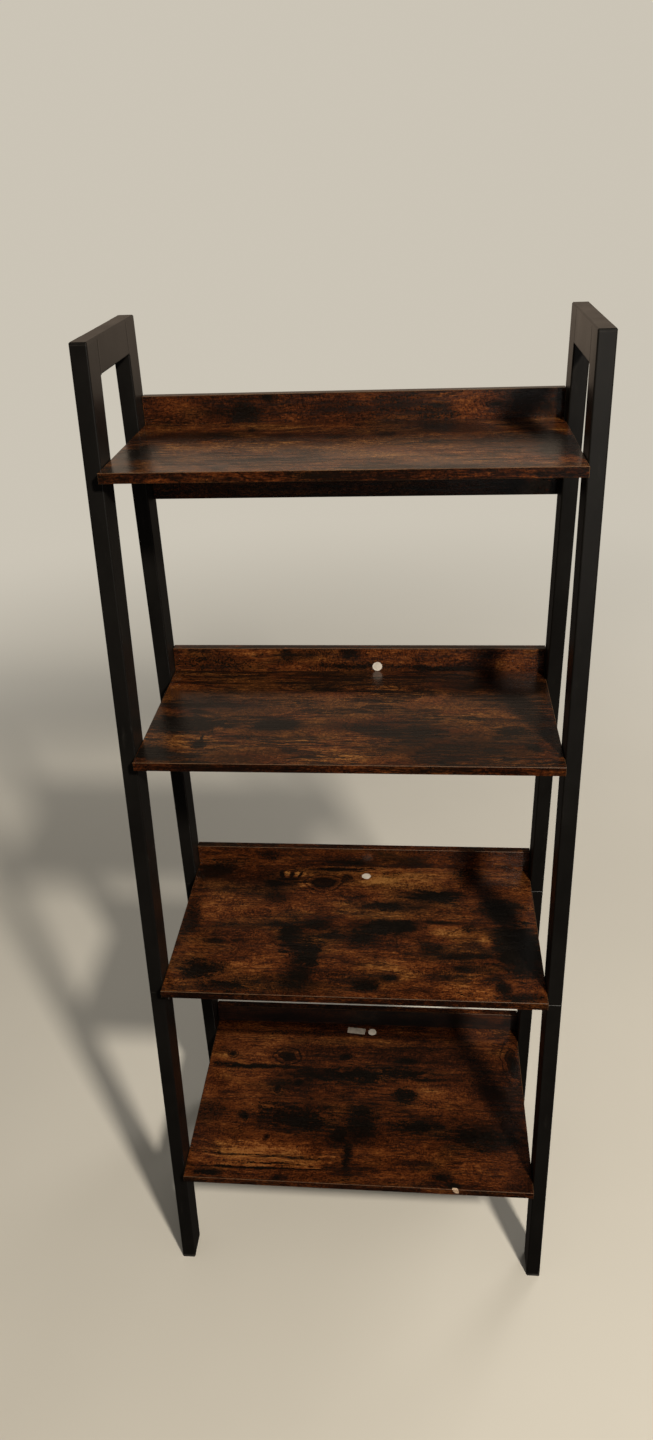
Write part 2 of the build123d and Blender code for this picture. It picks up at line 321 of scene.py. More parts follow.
# Every board has its own sheet of print. A mark lies at x across the board and t along its other side, in
# millimetres: soot and pale clouds are (x, t, reach x, reach t, depth), and knots are
# (x, t, reach x, reach t, rings, heart)
boards = {
    "top_shelf": {
        "shift": (0.31, 0.0, 0.17), "grain": 0.66, "saw": 0.14, "stain": 0.44, "warm": 0.1, "grit": 2.1,
        "cloud": 1.4, "gold": 0.08,
        "soot": [(-190, 88, 62, 24, 0.8), (-75, 85, 16, 14, 0.7), (-10, 75, 14, 12, 0.6),
                 (45, 86, 14, 11, 0.7), (125, 112, 38, 26, 0.75), (232, 20, 14, 46, 0.9),
                 (-60, -22, 66, 7, 0.5), (115, -16, 12, 6, 0.6), (-130, -50, 16, 9, 0.55),
                 # the soot marks at x -238 and -246 are a painted reflection of the left frame, dark in the
                 # sheen
                 (150, 44, 6, 14, 0.6), (-238, 16, 22, 40, 0.95), (-246, -52, 22, 16, 0.8)],
        "pale": [(-60, 118, 120, 18, 0.14), (160, 128, 40, 18, 0.16), (-215, 128, 30, 20, 0.1),
                 (-40, 0, 150, 30, 0.1)],
        "knots": [(105, 45, 22, 16, 4.0, 0.4), (12, 132, 8, 14, 3.0, 0.5), (-118, 114, 9, 8, 3.0, 0.5)],
    },
    "upper_shelf": {
        "shift": (1.4, 0.2, 0.6), "grain": 0.95, "saw": 0.14, "stain": 0.24, "warm": 0.06, "grit": 1.4,
        "cloud": 0.6, "gold": 0.14,
        "soot": [(-190, -52, 10, 9, 1.0), (-191, -36, 2, 14, 0.8), (-218, 0, 48, 22, 1.5),
                 (-95, -2, 28, 14, 1.2), (12, -3, 46, 13, 0.6), (55, -20, 24, 12, 0.65),
                 (92, -16, 28, 20, 0.62), (172, 18, 40, 5, 0.5), (-140, -33, 24, 7, 0.6),
                 (-75, -65, 12, 8, 0.7), (122, -60, 84, 24, 0.36), (207, -14, 24, 13, 0.8),
                 (226, -55, 11, 8, 0.8), (-40, 98, 24, 8, 0.8), (-246, -74, 24, 15, 1.5),
                 (-215, 60, 40, 26, 0.5), (150, 108, 26, 12, 0.6), (-200, 116, 120, 3, 0.7),
                 (20, 92, 90, 2.4, 0.85), (-60, 138, 110, 3, 0.6), (120, 131, 80, 3, 0.6)],
        "pale": [(-80, 103, 22, 9, 0.26), (15, 103, 48, 8, 0.26), (-175, -46, 75, 26, 0.22),
                 (-20, -42, 70, 22, 0.28), (-15, -82, 60, 13, 0.26), (-174, -18, 12, 10, 0.2),
                 (112, 22, 42, 9, 0.16), (62, -80, 30, 9, 0.16), (-60, 72, 150, 9, 0.12),
                 (165, 40, 32, 30, 0.1)],
        "knots": [(-5, 104, 95, 22, 6.0, -0.3), (118, -90, 9, 8, 2.0, 0.5)],
    },
    "lower_shelf": {
        "shift": (2.2, 0.5, 1.3), "grain": 0.34, "saw": 0.28, "stain": 0.46, "warm": 0.1, "grit": 1.7,
        "cloud": 1.2, "gold": 0.04,
        "soot": [(-232, 140, 36, 22, 0.95), (-132, 108, 24, 9, 0.95), (-130, 75, 20, 17, 0.65),
                 (112, 84, 42, 14, 1.3), (40, 60, 38, 10, 0.9), (120, 25, 28, 4.5, 0.9),
                 (46, 13, 50, 17, 1.3), (10, -12, 24, 18, 0.95), (-96, -14, 19, 36, 1.0),
                 (-74, -46, 24, 42, 1.0), (-80, -92, 21, 27, 0.85), (-118, 14, 21, 9, 0.8),
                 (-62, 14, 24, 13, 0.8), (-34, -8, 28, 10, 0.75), (-214, -84, 32, 23, 0.95),
                 (-178, -116, 34, 12, 0.9), (-206, -26, 16, 5, 0.8), (216, 54, 30, 30, 0.9),
                 (232, -24, 36, 48, 1.4), (240, -62, 26, 24, 0.9), (166, 15, 11, 10, 0.7),
                 (112, -30, 18, 14, 0.75), (156, -45, 44, 7, 0.8), (16, -106, 21, 13, 0.95),
                 (50, -90, 13, 7, 0.9), (152, -70, 17, 8, 0.8), (206, -106, 12, 15, 0.85),
                 (226, -121, 32, 10, 0.8), (-252, 20, 14, 50, 0.7), (-190, 10, 40, 9, 0.45),
                 (165, 140, 26, 30, 0.6), (-124, 130, 3.5, 10, 1.3), (-109, 131, 3, 9, 1.3),
                 (-96, 131, 2.4, 8, 1.2), (-110, 119, 20, 4, 1.3), (-92, 111, 20, 1.8, 1.0),
                 (-22, 125, 10, 11, 0.8), (-36, 146, 44, 4.5, 1.0)],
        "pale": [(-116, 134, 4.5, 7, 0.5), (-102, 133, 4, 7, 0.45), (-90, 132, 3, 6, 0.4),
                 (-82, 104, 13, 6, 0.42), (-92, 88, 28, 11, 0.24), (88, 37, 88, 11, 0.36),
                 (45, 122, 46, 16, 0.3), (150, 64, 44, 13, 0.28), (138, 8, 42, 12, 0.4),
                 (186, -12, 9, 20, 0.36), (60, -66, 52, 16, 0.28), (160, -112, 40, 18, 0.42),
                 (-220, 64, 30, 34, 0.24), (-85, 66, 66, 22, 0.12), (-150, -76, 46, 16, 0.18),
                 (-28, -72, 28, 14, 0.14), (238, 36, 16, 22, 0.25)],
        "knots": [(-56, 112, 40, 27, 3.0, 0.55)],
    },
    "bottom_shelf": {
        "shift": (3.7, 0.9, 2.1), "grain": 0.4, "saw": 0.23, "stain": 0.4, "warm": 0.08, "grit": 1.35,
        "cloud": 0.9, "gold": -0.03,
        "soot": [(-176, 54, 90, 5, 0.95), (-66, 42, 66, 15, 0.9), (0, 42, 58, 20, 0.95),
                 (66, 50, 52, 16, 0.85), (68, 4, 24, 19, 0.9), (112, 37, 40, 5, 0.8),
                 (-108, -45, 62, 27, 0.9), (-80, -60, 52, 11, 0.95), (0, -54, 28, 34, 1.0),
                 (-30, -76, 18, 25, 0.95), (-14, -112, 8, 50, 0.75), (94, -54, 40, 14, 1.0),
                 (190, -70, 58, 25, 0.9), (-226, -152, 22, 7, 0.95), (126, -144, 16, 7, 0.9),
                 (142, -155, 10, 5, 0.9), (-190, -48, 9, 8, 0.9), (-30, 80, 12, 7, 0.8),
                 (74, 77, 22, 8, 0.95), (112, 76, 40, 4, 0.6), (-150, -140, 100, 2.2, 0.95),
                 (-130, -132, 40, 1.9, 0.9), (-190, -118, 80, 1.6, 0.8), (-100, -120, 60, 2.4, 0.7),
                 (-128, 20, 40, 9, 0.5), (-245, -36, 24, 18, 0.6), (-60, 130, 240, 6, 0.5)],
        "pale": [(-60, 118, 180, 13, 0.27), (-150, -120, 105, 24, 0.5), (125, 2, 55, 22, 0.22),
                 (205, 118, 34, 24, 0.26), (195, -135, 40, 15, 0.22), (-85, -2, 42, 11, 0.15),
                 (40, -106, 60, 16, 0.12), (-205, 30, 46, 16, 0.12), (-60, 86, 60, 9, 0.1)],
        "knots": [(-128, 78, 30, 24, 3.0, 0.42), (-222, 78, 17, 14, 2.0, 0.5), (-138, 8, 11, 12, 2.0, 0.5),
                  (247, 80, 18, 56, 2.5, 0.45), (-147, -86, 9, 10, 2.0, 0.5), (-120, -157, 9, 6, 2.0, 0.5),
                  (-216, -117, 5, 5, 2.0, 0.5), (-105, 22, 11, 11, 2.0, 0.5), (-30, 80, 16, 13, 2.0, 0.45)],
    },
    "top_backboard": {
        "shift": (5.1, 1.2, 0.3), "grain": 0.3, "saw": 0.25, "stain": 0.34, "warm": 0.04, "grit": 1.6,
        "cloud": 1.1, "gold": 0.0,
        "soot": [(-137, 12, 22, 12, 0.95), (-105, 32, 9, 7, 0.9), (60, 22, 34, 16, 0.6),
                 (100, 10, 30, 12, 0.6), (225, 20, 40, 20, 0.5), (-15, 18, 40, 10, 0.4),
                 # the soot mark at t -86 lies on the strip under the top shelf and is painted shade
                 (-170, 10, 20, 8, 0.45), (228, -86, 48, 26, 0.9)],
        "pale": [(-215, 20, 30, 11, 0.14), (150, 20, 14, 13, 0.16), (10, 24, 60, 6, 0.08)],
        "knots": [(182, 17, 18, 6, 2.0, 0.45), (240, 12, 10, 7, 2.0, 0.45)],
    },
    "upper_backboard": {
        "shift": (6.3, 1.9, 0.9), "grain": 0.3, "saw": 0.28, "stain": 0.44, "warm": 0.06, "grit": 1.9,
        "cloud": 1.0, "gold": 0.0,
        "soot": [(-8, 30, 14, 11, 0.85), (-10, 9, 60, 6, 0.7), (-200, 12, 60, 12, 0.5),
                 (110, 5, 70, 4, 0.8), (-102, 22, 10, 14, 0.6)],
        "pale": [(-160, 20, 42, 11, 0.18), (72, 18, 70, 9, 0.16), (216, 15, 30, 13, 0.2)],
        "knots": [],
    },
    "lower_backboard": {
        "shift": (7.7, 2.3, 1.7), "grain": 0.34, "saw": 0.25, "stain": 0.4, "warm": 0.06, "grit": 1.4,
        "cloud": 1.2, "gold": -0.03,
        "soot": [(-143, 18, 18, 10, 0.7), (-20, 9, 40, 7, 0.8), (80, 12, 22, 10, 0.6),
                 (-220, 6, 40, 6, 0.5)],
        "pale": [(30, 21, 100, 9, 0.14), (216, 15, 34, 13, 0.14)],
        "knots": [],
    },
    "bottom_backboard": {
        "shift": (8.2, 2.8, 2.5), "grain": 0.34, "saw": 0.22, "stain": 0.44, "warm": 0.03, "grit": 1.2,
        "cloud": 1.0, "gold": 0.0, "dull": 0.3,
        "soot": [(-150, 16, 60, 9, 0.6), (40, 10, 70, 8, 0.6), (180, 18, 40, 10, 0.6)],
        "pale": [(210, 16, 45, 12, 0.14)],
        "knots": [],
    },
}


# A place on a board in the row frame: shelves count along Y, backboards up from the shelf's top
def boardSpot(name, x, t):
    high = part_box(name.replace("_backboard", "_shelf"))[1]
    if name.endswith("_shelf"):
        return (x * mm, t * mm, high.z)
    return (x * mm, high.y, high.z + t * mm)


def boardReach(name, x, t):
    if name.endswith("_shelf"):
        return (x * mm, t * mm, 1.0)
    return (x * mm, 1.0, t * mm)


# What a sheet of print hands straight to the print's own inputs
def printFeeds(sheet):
    names = ("shift", "grain", "saw", "stain", "warm", "grit", "cloud", "gold", "dull")
    return {name.capitalize(): sheet[name] for name in names if name in sheet}


def markFeeds(name, flow, x, t, reachX, reachT):
    return {"Flow": flow["Flow"], "Edge": flow["Edge"], "Centre": boardSpot(name, x, t),
            "Reach": boardReach(name, reachX, reachT)}


def dressBoard(name, sheet):
    material, shader, spot = newMaterial("rusticBoard." + name)
    flow = useGroup(boardFlow, {"Vector": spot})
    found = {"Soot": 0.0, "Pale": 0.0, "Core": 0.0, "Rings": 0.0}
    for kind in ("Soot", "Pale"):
        for *lie, depth in sheet[kind.lower()]:
            ragged = boardLook["ragged"] + boardLook["raggedRise"] * max(lie[2:])
            feeds = markFeeds(name, flow, *lie)
            feeds["Depth"] = depth
            feeds["Ragged"] = min(boardLook["raggedMost"], ragged)  # small marks keep their outline
            mask = useGroup(boardCloud, feeds)["Mask"]
            found[kind] = calc("MAXIMUM", mask, found[kind])
    for *lie, turns, heart in sheet["knots"]:
        knot = useGroup(boardKnot, {**markFeeds(name, flow, *lie), "Turns": turns, "Heart": heart})
        for part in ("Core", "Rings"):
            found[part] = calc("MAXIMUM", knot[part], found[part])
    sheetPrint = useGroup(boardPrint, {"Flow": flow["Flow"], **found, **printFeeds(sheet)})
    painted(shader, sheetPrint["Color"], sheetPrint["Roughness"])
    bumped(shader, sheetPrint["Height"], boardLook["bump"], boardLook["bumpDepth"])
    cadNodes[name].material_slots[0].material = material


for boardName, sheet in boards.items():
    dressBoard(boardName, sheet)
print("boards dressed:", len(boards))

# Edge bands: the same print in strips, with a pale line along the chamfers that is partly the trimmed band's
# own colour and partly a painted highlight. The chamfers are the faces whose normal stays under flat on every
# axis
bandLook = {
    "trimHighlightColour": (0.11, 0.055, 0.024), "trimRough": 0.32, "grain": 0.42, "saw": 0.2, "stain": 0.5,
    "warm": -0.14, "grit": 1.9, "shift": (11.3, 0.4, 0.2), "specular": 0.2, "bump": 0.4, "flat": 0.9,
}


def makeBandMaterial():
    material, shader, spot = newMaterial("edgeBand", **{"Specular IOR Level": bandLook["specular"]})
    normal = split(faceNormal(material.node_tree))
    x, y, z = [calc("ABSOLUTE", normal[axis]) for axis in "XYZ"]
    parts = split(spot)
    swapped = put("CombineXYZ", {0: parts["Y"], 1: parts["X"], 2: parts["Z"]}).outputs[0]
    atEnd = calc("GREATER_THAN", x, bandLook["flat"])
    vector = put("Mix", {0: atEnd, 4: spot, 5: swapped}, data_type="VECTOR").outputs[1]
    flow = useGroup(boardFlow, {"Vector": vector})
    strip = useGroup(boardPrint, {"Flow": flow["Flow"], **printFeeds(bandLook)})
    flattest = calc("MAXIMUM", x, calc("MAXIMUM", y, z))
    patchy = fade(noise(spot, (60, 60, 60), 4.0, 0.7), 0.3, 0.55, 0.35, 0.9)
    trimHighlight = times(calc("LESS_THAN", flattest, bandLook["flat"]), patchy)
    # the chamfers' pale line: partly the trimmed band's own colour, partly a painted highlight
    colour = mixed(trimHighlight, strip["Color"], bandLook["trimHighlightColour"])
    painted(shader, colour, weigh(strip["Roughness"], trimHighlight, bandLook["trimRough"]))
    bumped(shader, strip["Height"], bandLook["bump"], boardLook["bumpDepth"])
    return material


bandMaterial = makeBandMaterial()
for name in ("shelf_edge_bands", "backboard_edge_bands"):
    cadNodes[name].material_slots[0].material = bandMaterial
print("edge bands dressed")


def wornAt(spot, look):
    feeds = {"Vector": spot, "Reach": look["wearReach"], "Patchy": look["wearPatchy"]}
    return useGroup(edgeWear, feeds)["Mask"]


def dustAt(spot, look):
    return useGroup(dust, {"Vector": spot, "Amount": look["dust"]})["Mask"]


# Black powder coat of the side frames
coatLook = {
    "colour": (0.0042, 0.0037, 0.0032), "pale": (0.0068, 0.0060, 0.0051), "wornColour": (0.034, 0.030, 0.025),
    "dustColour": (0.12, 0.105, 0.085), "roughness": 0.27, "roughSpread": 0.16, "specular": 0.21,
    "peel": 0.35, "peelDepth": 0.00010, "dust": 0.06, "dustRough": 1.2, "scuffs": 0.35, "wear": 0.5,
    "wearReach": 0.0016, "wearPatchy": 55.0,
}


def makeCoatMaterial():
    material, shader, spot = newMaterial("blackSteel", **{"Specular IOR Level": coatLook["specular"]})
    cloud = noise(spot, (14, 14, 9), 4.0, 0.6)
    peel = noise(spot, (950, 950, 950), 2.0, 0.5)
    scuff = noise(spot, (70, 70, 12), 5.0, 0.75)
    colour = mixed(fade(cloud, 0.3, 0.75), coatLook["colour"], coatLook["pale"])
    scuffed = times(fade(scuff, 0.6, 0.78), coatLook["scuffs"])
    colour = mixed(scuffed, colour, coatLook["wornColour"])
    worn = times(wornAt(spot, coatLook), coatLook["wear"])
    colour = mixed(worn, colour, coatLook["wornColour"])
    lying = dustAt(spot, coatLook)
    colour = mixed(lying, colour, coatLook["dustColour"])
    rough = weigh(coatLook["roughness"], cloud, coatLook["roughSpread"])
    rough = calc("ADD", rough, times(lying, coatLook["dustRough"]), clamp=True)
    painted(shader, colour, rough)
    bumped(shader, peel, coatLook["peel"], coatLook["peelDepth"])
    return material


coatMaterial = makeCoatMaterial()

# Moulded feet
footLook = {
    "colour": (0.024, 0.0225, 0.0205), "pale": (0.046, 0.043, 0.039), "dustColour": (0.16, 0.135, 0.105),
    "roughness": 0.58, "roughSpread": 0.16, "ior": 1.46, "grain": 0.5, "grainDepth": 0.00016, "dust": 0.3,
    "wearReach": 0.0012, "wearPatchy": 90.0,
}


def makeFootMaterial():
    material, shader, spot = newMaterial("footPlastic", IOR=footLook["ior"])
    grain = noise(spot, (1400, 1400, 1400), 2.0, 0.6)
    cloud = noise(spot, (45, 45, 45), 4.0, 0.6)
    colour = mixed(fade(cloud, 0.35, 0.75), footLook["colour"], footLook["pale"])
    for mask in (wornAt(spot, footLook), dustAt(spot, footLook)):
        colour = mixed(mask, colour, footLook["dustColour"])
    painted(shader, colour, weigh(footLook["roughness"], grain, footLook["roughSpread"]))
    bumped(shader, grain, footLook["grain"], footLook["grainDepth"])
    return material


footMaterial = makeFootMaterial()

# Zinc-plated steel of the sleeves and screws: (clean, tarnished) colours; the recess pair is painted shade
zincLook = {
    "plate": ((0.46, 0.455, 0.43), (0.27, 0.25, 0.20)), "recess": ((0.06, 0.056, 0.05), (0.03, 0.027, 0.023)),
    "roughness": 0.34, "roughSpread": 0.25, "brush": 0.25, "brushDepth": 0.00005,
}


def makeZincMaterial(name, clean, tarnish):
    material, shader, spot = newMaterial(name, Metallic=1.0)
    cloud = noise(spot, (260, 260, 260), 5.0, 0.7)
    brush = noise(spot, (1500, 1500, 180), 2.0, 0.6)
    colour = mixed(fade(cloud, 0.45, 0.7), clean, tarnish)
    painted(shader, colour, weigh(zincLook["roughness"], cloud, zincLook["roughSpread"]))
    bumped(shader, brush, zincLook["brush"], zincLook["brushDepth"])
    return material


zincMaterial = makeZincMaterial("zincSteel", *zincLook["plate"])
# the darker zinc of the cross recesses is painted shade
recessShadeMaterial = makeZincMaterial("zincRecessShade", *zincLook["recess"])
slotMaterials = {"black_steel": coatMaterial, "foot_plastic": footMaterial, "zinc_steel": zincMaterial}
for node in cadNodes.values():
    for holder in node.material_slots:
        holder.material = slotMaterials.get(holder.material.name, holder.material)
print("frames, feet and metal dressed")


def newObject(name, data):
    made = bpy.data.objects.new(name, data)
    bpy.context.scene.collection.objects.link(made)
    return made


# What was built goes into a mesh
def settled(builder, mesh):
    builder.to_mesh(mesh)
    builder.free()
    return mesh


sharpFrom = math.radians(35)  # edges that turn more than this stay sharp


# New pieces are meshes in the row frame that ride on the one body
def newPiece(name, vertices, faces, material, smooth=True):
    mesh = bpy.data.meshes.new(name)
    mesh.from_pydata([tuple(v) for v in vertices], [], faces)
    mesh.validate()
    builder = bmesh.new()
    builder.from_mesh(mesh)
    bmesh.ops.recalc_face_normals(builder, faces=builder.faces)
    settled(builder, mesh)
    if smooth:
        mesh.polygons.foreach_set("use_smooth", [True] * len(mesh.polygons))
        mesh.set_sharp_from_angle(angle=sharpFrom)
    mesh.materials.append(material)
    piece = newObject(name, mesh)
    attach(piece, "root")
    return piece


# Closed skin over rings of points that follow one another, each of the same count
def ringSkin(steps, count):
    faces = []
    for s in range(steps):
        for k in range(count):
            n = (k + 1) % count
            faces.append([s * count + k, s * count + n, (s + 1) * count + n, (s + 1) * count + k])
    faces.append(list(range(count)))
    faces.append([steps * count + k for k in reversed(range(count))])
    return faces


# Screws: turned bodies with a cross recess cut into the head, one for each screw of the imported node.
# Sizes are in millimetres
screwLook = {
    "tab_screws": {"head": 3.5, "rise": 2.2, "stem": 2.0, "length": 12.0,
                   "recess": 2.1, "slot": 0.75, "deep": 1.3},
    "sleeve_screws": {"head": 3.5, "rise": 2.2, "stem": 2.0, "length": 5.0,
                      "recess": 2.1, "slot": 0.75, "deep": 1.3},
    "backboard_screws": {"head": 4.28, "rise": 0.0, "stem": 2.0, "length": 38.0,
                         "recess": 2.4, "slot": 0.8, "deep": 1.4},
}
# Neck, tip, rim and taper are shares, and the cross is turned by up to a quarter
turningLook = {
    "turns": 24, "threadFrom": 0.4, "pitch": 1.4, "point": 3.0, "neck": 0.9, "tip": 0.74, "tipDrop": 0.6,
    "flatRim": 0.97, "rimDrop": 0.08, "flatNeck": 0.95, "cutterOver": 1.0, "cutterTaper": 0.6, "lip": 0.3,
    "mostTurn": 1.57,
}
domedHead = [(0, 1), (0.45, 0.98), (0.72, 0.84), (0.92, 0.5), (1, 0.12), (1, 0)]  # shares of head and rise
threadTurn = [(0.78, 0.3), (1, 0.65), (0.78, 1)]  # shares of stem and pitch


def turned(builder, profile):
    turns = turningLook["turns"]
    rows = []
    for radius, height in profile:
        angles = [math.tau * k / turns for k in range(turns)] if radius else [0.0]
        reach = radius * mm
        spots = [(reach * math.cos(angle), reach * math.sin(angle), height * mm) for angle in angles]
        rows.append([builder.verts.new(spot) for spot in spots])
    for low, high in zip(rows, rows[1:]):
        for k in range(turns):
            a, b = low[k % len(low)], low[(k + 1) % len(low)]
            c, d = high[(k + 1) % len(high)], high[k % len(high)]
            corners = list(dict.fromkeys([a, b, c, d]))
            if len(corners) > 2:
                builder.faces.new(corners)


# The recess is a tapered cross that the head is cut with
def crossCutter(values, top):
    builder = bmesh.new()
    wide, narrow = values["recess"], values["slot"]
    outline = [(narrow, wide), (-narrow, wide), (-narrow, narrow), (-wide, narrow), (-wide, -narrow),
               (-narrow, -narrow), (-narrow, -wide), (narrow, -wide), (narrow, -narrow), (wide, -narrow),
               (wide, narrow), (narrow, narrow)]
    over, taper = top + turningLook["cutterOver"], turningLook["cutterTaper"]
    under = top - values["deep"]
    mouth = [builder.verts.new((x * mm, y * mm, over * mm)) for x, y in outline]
    floor = [builder.verts.new((x * taper * mm, y * taper * mm, under * mm)) for x, y in outline]
    builder.faces.new(mouth)
    builder.faces.new(floor[::-1])
    for k in range(len(outline)):
        n = (k + 1) % len(outline)
        builder.faces.new([mouth[k], floor[k], floor[n], mouth[n]])
    bmesh.ops.recalc_face_normals(builder, faces=builder.faces)
    return settled(builder, bpy.data.meshes.new("crossCutter"))


# One screw with its head's seat at height 0 and its stem going down
def screwMesh(values):
    head, rise, stem, length = (values[key] for key in ("head", "rise", "stem", "length"))
    pitch = turningLook["pitch"]
    if rise:
        depth = turningLook["threadFrom"]
        profile = [(head * r, rise * h) for r, h in domedHead] + [(stem * turningLook["neck"], 0)]
    else:
        depth = head - stem
        profile = [(0, 0), (head * turningLook["flatRim"], 0), (head, -turningLook["rimDrop"]),
                   (stem * turningLook["flatNeck"], -depth)]
    while depth + pitch < length - turningLook["point"]:
        profile += [(stem * r, -depth - pitch * h) for r, h in threadTurn]
        depth += pitch
    profile += [(stem * turningLook["tip"], -depth - turningLook["tipDrop"]), (0, -length)]
    builder = bmesh.new()
    turned(builder, profile)
    bmesh.ops.recalc_face_normals(builder, faces=builder.faces)
    blank = newObject("screwBlank", settled(builder, bpy.data.meshes.new("screwBlank")))
    cutter = newObject("screwCutter", crossCutter(values, rise))
    cut = blank.modifiers.new("recess", "BOOLEAN")
    cut.operation, cut.object, cut.solver = "DIFFERENCE", cutter, "EXACT"
    bpy.context.view_layer.update()
    ready = bpy.data.meshes.new_from_object(blank.evaluated_get(bpy.context.evaluated_depsgraph_get()))
    for thing in (blank, cutter):
        bpy.data.objects.remove(thing)
    builder = bmesh.new()
    builder.from_mesh(ready)
    # points in line that the cut leaves on the flat faces
    nearFlat = math.radians(0.05)
    bmesh.ops.dissolve_limit(builder, angle_limit=nearFlat, verts=builder.verts, edges=builder.edges)
    return settled(builder, ready)


# Each packed screw is one loose island of its node, and the box of the island gives its place
def screwBoxes(node):
    builder = bmesh.new()
    builder.from_mesh(cadNodes[node].data)
    bmesh.ops.remove_doubles(builder, verts=builder.verts, dist=1e-6)
    left, boxes = set(builder.verts), []
    while left:
        island, edge = set(), [left.pop()]
        while edge:
            vertex = edge.pop()
            island.add(vertex)
            for link in vertex.link_edges:
                other = link.other_vert(vertex)
                if other in left:
                    left.remove(other)
                    edge.append(other)
        low = Vector([min(v.co[axis] for v in island) for axis in range(3)])
        high = Vector([max(v.co[axis] for v in island) for axis in range(3)])
        boxes.append((low, high))
    builder.free()
    return sorted(boxes, key=lambda box: tuple(round(value, 5) for value in box[0]))


# Where the seat of the head is, and which way the head faces
def screwSeat(node, low, high, rise):
    middle = (low + high) / 2
    size = high - low
    if node == "backboard_screws":
        return Vector((middle.x, high.y, middle.z)), Vector((0, 1, 0))
    if node == "sleeve_screws":
        way = -1 if middle.x > 0 else 1
        inner = low.x if way < 0 else high.x
        return Vector((inner - way * rise * mm, middle.y, middle.z)), Vector((way, 0, 0))
    if size.z > size.y:
        return Vector((middle.x, middle.y, low.z + rise * mm)), Vector((0, 0, -1))
    return Vector((middle.x, low.y + rise * mm, middle.z)), Vector((0, -1, 0))


# 1 for each face of the cross recess, which takes the darker zinc: painted shade in the hollow
def recessFaces(mesh, values):
    top, lip = values["rise"], turningLook["lip"]
    marks = []
    for polygon in mesh.polygons:
        centre = polygon.center / mm
        within = math.hypot(centre.x, centre.y) < values["recess"]
        marks.append(int(within and top - values["deep"] - lip < centre.z < top - lip))
    return marks


def dressScrews(node, values):
    blank = screwMesh(values)
    rng = random.Random(node)
    vertices, faces, marks = [], [], []
    for low, high in screwBoxes(node):
        seat, way = screwSeat(node, low, high, values["rise"])
        facing = way.to_track_quat("Z", "Y").to_matrix().to_4x4()
        turn = Matrix.Rotation(rng.uniform(0, turningLook["mostTurn"]), 4, "Z")
        move = Matrix.Translation(seat) @ (facing @ turn)
        start = len(vertices)
        vertices += [move @ v.co for v in blank.vertices]
        faces += [[start + k for k in polygon.vertices] for polygon in blank.polygons]
        marks += recessFaces(blank, values)
    piece = newPiece(node + "_turned", vertices, faces, zincMaterial)
    # the recess faces take the darker zinc, which is painted shade in the hollow
    piece.data.materials.append(recessShadeMaterial)
    piece.data.polygons.foreach_set("material_index", marks)
    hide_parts(node)


for node, values in screwLook.items():
    dressScrews(node, values)
print("screws turned:", len(screwLook), "kinds")

# Weld beads where the tabs and rails meet the posts: lengths in millimetres, the rest shares and counts
weldLook = {
    "tabReach": 2.0, "railReach": 2.4, "ripple": 1.7, "swell": 0.11, "uneven": 0.05, "arc": 5, "step": 0.55,
    "tuck": 0.35, "taper": 6, "endSize": 0.25, "flat": 0.78, "round": 0.16, "fewest": 6, "lean": 0.096,
    "inset": 1.5, "edge": 2.2, "sink": 0.3,
    "jointReach": 2.0, "jointDepth": 1.1, "jointProud": 0.22, "jointSides": 12, "jointTaper": 8,
    "jointEnd": 0.6, "jointLow": 0.75, "seed": 41,
}


# A rippled fillet from start to end in the corner between two faces, whose outward ways are given
def weldBead(rng, start, end, firstWay, secondWay, reach):
    run = end - start
    steps = max(weldLook["fewest"], int(run.length / (weldLook["step"] * mm)))
    arc, taper, thin = weldLook["arc"], weldLook["taper"], weldLook["endSize"]
    tuck = weldLook["tuck"] * mm
    phase = rng.uniform(0, 6)
    vertices = []
    for s in range(steps + 1):
        t = s / steps
        ends = min(1.0, taper * t, taper * (1 - t)) ** 0.5
        wave = math.sin(math.tau * t * run.length / (weldLook["ripple"] * mm) + phase)
        swell = 1 + weldLook["swell"] * wave + rng.uniform(-weldLook["uneven"], weldLook["uneven"])
        size = reach * mm * (thin + (1 - thin) * ends) * swell
        spot = start + run * t
        vertices.append(spot - (firstWay + secondWay) * tuck)
        for k in range(arc + 1):
            angle = math.pi / 2 * k / arc
            bulge = size * (weldLook["flat"] + weldLook["round"] * math.sin(2 * angle))
            point = spot + firstWay * math.cos(angle) * bulge + secondWay * math.sin(angle) * bulge
            if k == 0:
                point -= secondWay * tuck
            if k == arc:
                point -= firstWay * tuck
            vertices.append(point)
    return vertices, ringSkin(steps, arc + 2)


# A joint filled and rubbed down: a flat bead along a line in a face, with the way across it and the way out
def jointBead(rng, start, end, across, out, proud):
    run = end - start
    steps = max(weldLook["fewest"], int(run.length / (2 * weldLook["step"] * mm)))
    count, taper, thin = weldLook["jointSides"], weldLook["jointTaper"], weldLook["jointEnd"]
    vertices = []
    for s in range(steps + 1):
        t = s / steps
        size = mm * (thin + (1 - thin) * min(1.0, taper * t, taper * (1 - t)))
        for k in range(count):
            angle = math.tau * k / count
            rise = weldLook["jointDepth"]
            if math.sin(angle) > 0:
                rise = proud * rng.uniform(weldLook["jointLow"], 1.0)
            vertices.append(start + run * t + across * weldLook["jointReach"] * size * math.cos(angle)
                            + out * rise * size * math.sin(angle))
    return vertices, ringSkin(steps, count)


